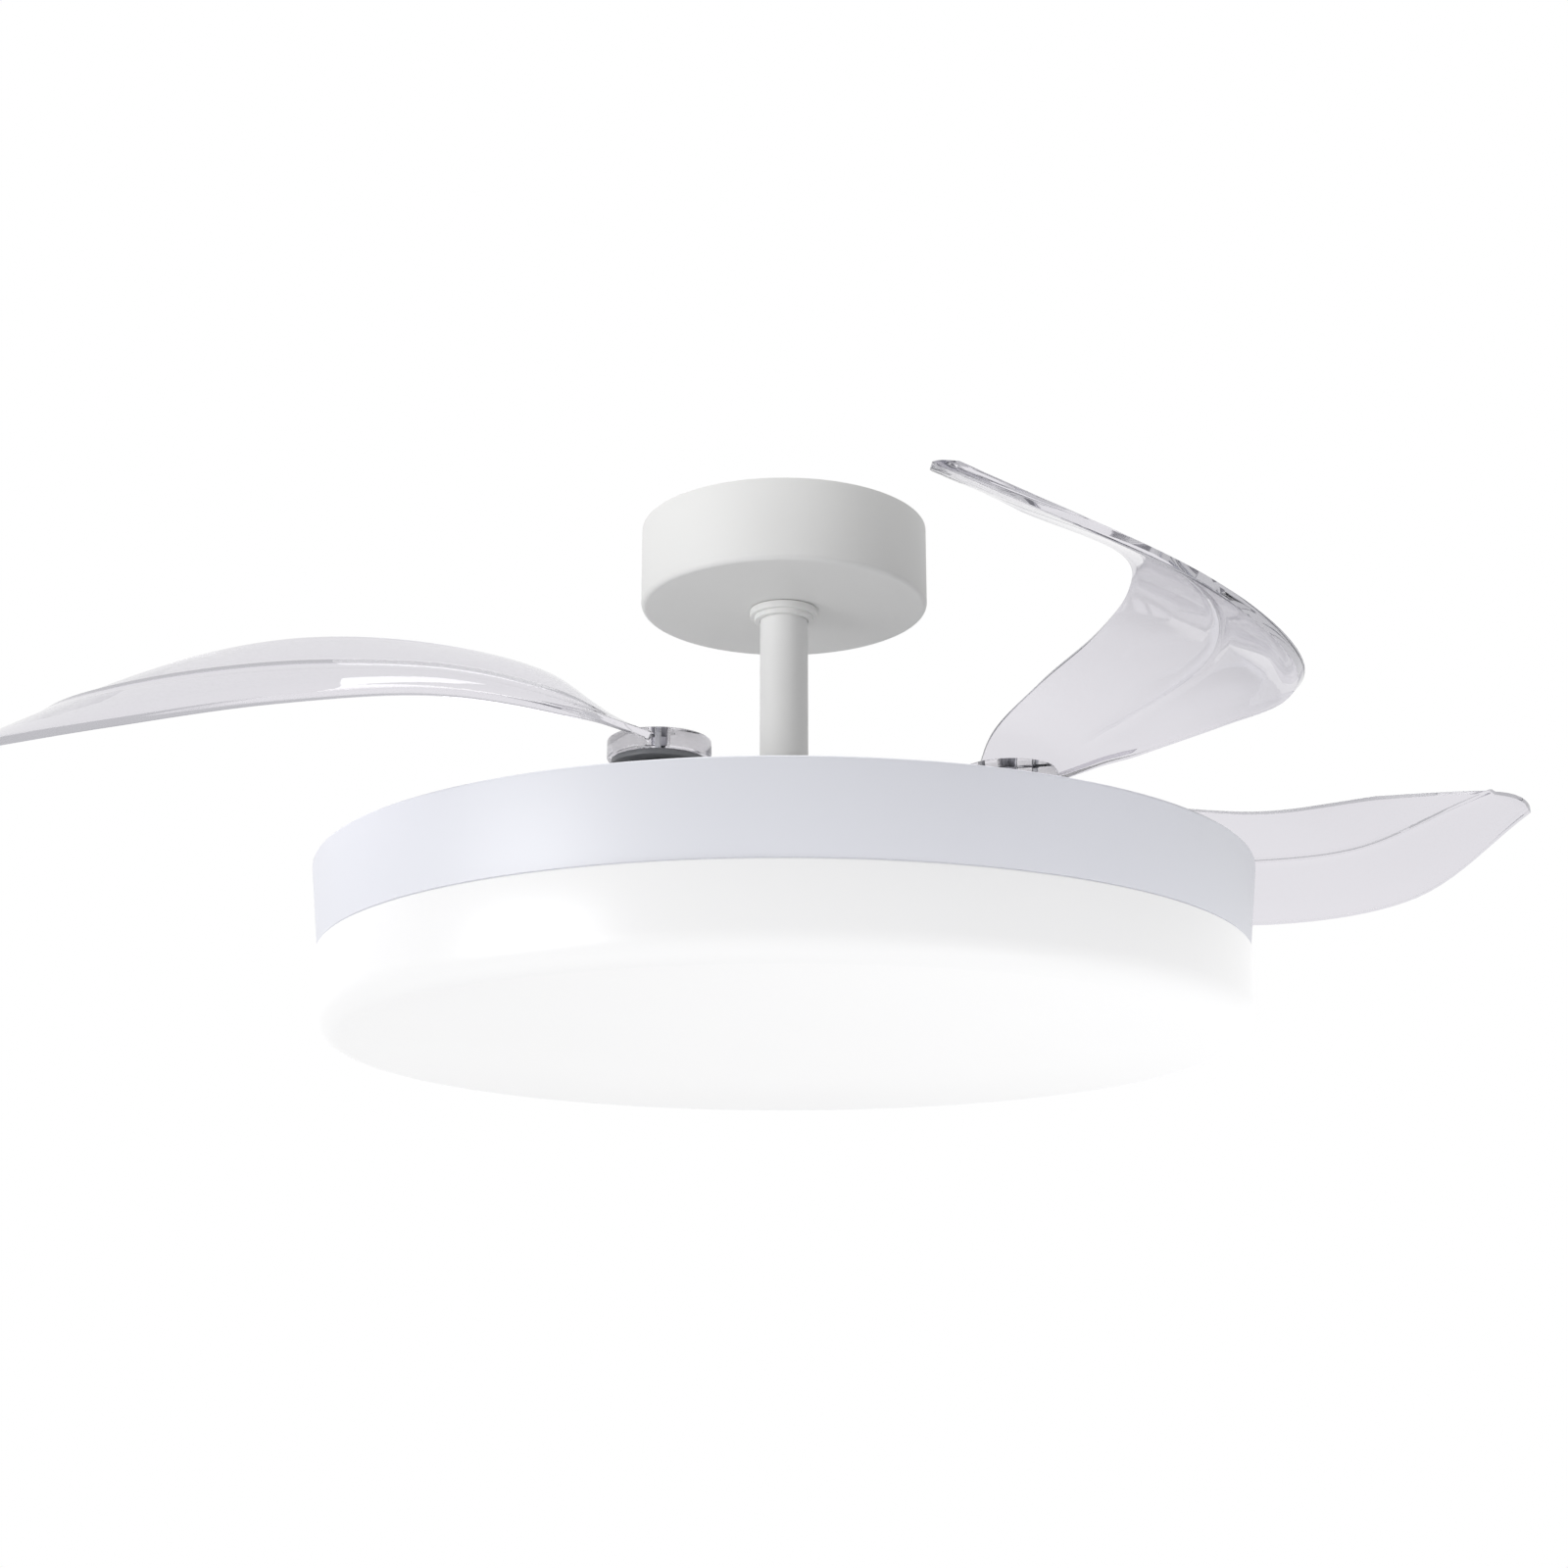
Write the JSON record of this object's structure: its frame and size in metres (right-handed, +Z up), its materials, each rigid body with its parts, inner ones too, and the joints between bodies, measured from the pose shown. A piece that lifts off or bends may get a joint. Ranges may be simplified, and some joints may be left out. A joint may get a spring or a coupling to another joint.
{
  "type": "retractable blade ceiling fan",
  "caption": "Ceiling fan hung on a short down rod, with curved clear blades that swing in over a round drum light with an opal diffuser, and a cylindrical canopy.",
  "frame": {"origin": "on the ceiling, where the bracket's top face meets the fan's axis", "axes": "+Z up, along the down rod into the ceiling; +X to the right as pictured and +Y away from the camera; the fan hangs towards -Z"},
  "size_m": [0.856, 0.856, 0.295],
  "materials": {
    "white_paint": "matte white powder coat",
    "ring_paint": "satin white paint",
    "zinc": "zinc plated",
    "steel": "bright steel",
    "aluminium": "cast and turned",
    "black_plastic": "moulded nylon",
    "white_plastic": "moulded",
    "grey_plastic": "moulded acetal",
    "clear_plastic": "clear polished, faint cool tint",
    "opal_plastic": "opal acrylic",
    "copper": "enamelled copper wire",
    "magnet": "sintered, coated",
    "board": "white solder mask",
    "cable": "sheathed flex"
  },
  "bodies": {
    "fixed": {"ceiling_bracket": "zinc", "hanger_ball": "black_plastic", "hanger_pin": "steel", "canopy": "white_paint", "canopy_collar": "white_paint", "collar_grub_screw": "steel", "receiver_box": "white_plastic", "terminal_block": "white_plastic", "downrod": "white_paint", "rod_coupling": "white_paint", "rod_pin": "steel", "shaft_pin": "steel", "stator_shaft": "steel", "shaft_nut": "zinc", "stator_core": "steel", "stator_winding": "copper", "lead": "cable", "light_ring": "ring_paint", "light_pan": "ring_paint", "led_tray": "white_paint", "led_board": "board", "led_driver": "white_plastic", "diffuser": "opal_plastic", "diffuser_clip_1": "steel", "diffuser_clip_2": "steel", "diffuser_clip_3": "steel"},
    "rotor": {"rotor_base": "aluminium", "rotor_cover": "white_paint", "magnet_ring": "magnet", "lower_bearing": "steel", "upper_bearing": "steel", "blade_carrier": "zinc", "hub_cover": "white_paint", "return_spring": "steel", "pivot_bolt_1": "steel", "pivot_bolt_2": "steel", "pivot_bolt_3": "steel", "pivot_bolt_4": "steel"},
    "sync_ring": {"sync_gear": "grey_plastic"},
    "blade_1": {"blade_1": "clear_plastic", "blade_1_bush": "grey_plastic", "blade_1_gear": "grey_plastic", "blade_1_screw_1": "steel", "blade_1_screw_2": "steel"},
    "blade_2": {"blade_2": "clear_plastic", "blade_2_bush": "grey_plastic", "blade_2_gear": "grey_plastic", "blade_2_screw_1": "steel", "blade_2_screw_2": "steel"},
    "blade_3": {"blade_3": "clear_plastic", "blade_3_bush": "grey_plastic", "blade_3_gear": "grey_plastic", "blade_3_screw_1": "steel", "blade_3_screw_2": "steel"},
    "blade_4": {"blade_4": "clear_plastic", "blade_4_bush": "grey_plastic", "blade_4_gear": "grey_plastic", "blade_4_screw_1": "steel", "blade_4_screw_2": "steel"}
  },
  "joints": [
    {"name": "rotor_spin", "type": "hinge", "parent": "fixed", "child": "rotor", "pos_m": [0, 0, -0.2035], "axis": [0, 0, 1], "continuous": true},
    {"name": "blade_1_fold", "type": "hinge", "parent": "rotor", "child": "blade_1", "pos_m": [0.11655, -0.06197, -0.1675], "axis": [0, 0, -1], "range_deg": [0, 92]},
    {"name": "blade_2_fold", "type": "hinge", "parent": "rotor", "child": "blade_2", "pos_m": [0.06197, 0.11655, -0.1675], "axis": [0, 0, -1], "range_deg": [0, 92]},
    {"name": "blade_3_fold", "type": "hinge", "parent": "rotor", "child": "blade_3", "pos_m": [-0.11655, 0.06197, -0.1675], "axis": [0, 0, -1], "range_deg": [0, 92]},
    {"name": "blade_4_fold", "type": "hinge", "parent": "rotor", "child": "blade_4", "pos_m": [-0.06197, -0.11655, -0.1675], "axis": [0, 0, -1], "range_deg": [0, 92]},
    {"name": "sync_turn", "type": "hinge", "parent": "rotor", "child": "sync_ring", "pos_m": [0, 0, -0.1917], "axis": [0, 0, 1], "range_deg": [0, 34.5]}
  ],
  "couplings": [
    {"joint": "blade_2_fold", "follows": "blade_1_fold", "ratio": 1},
    {"joint": "blade_3_fold", "follows": "blade_1_fold", "ratio": 1},
    {"joint": "blade_4_fold", "follows": "blade_1_fold", "ratio": 1},
    {"joint": "sync_turn", "follows": "blade_1_fold", "ratio": 0.375}
  ]
}
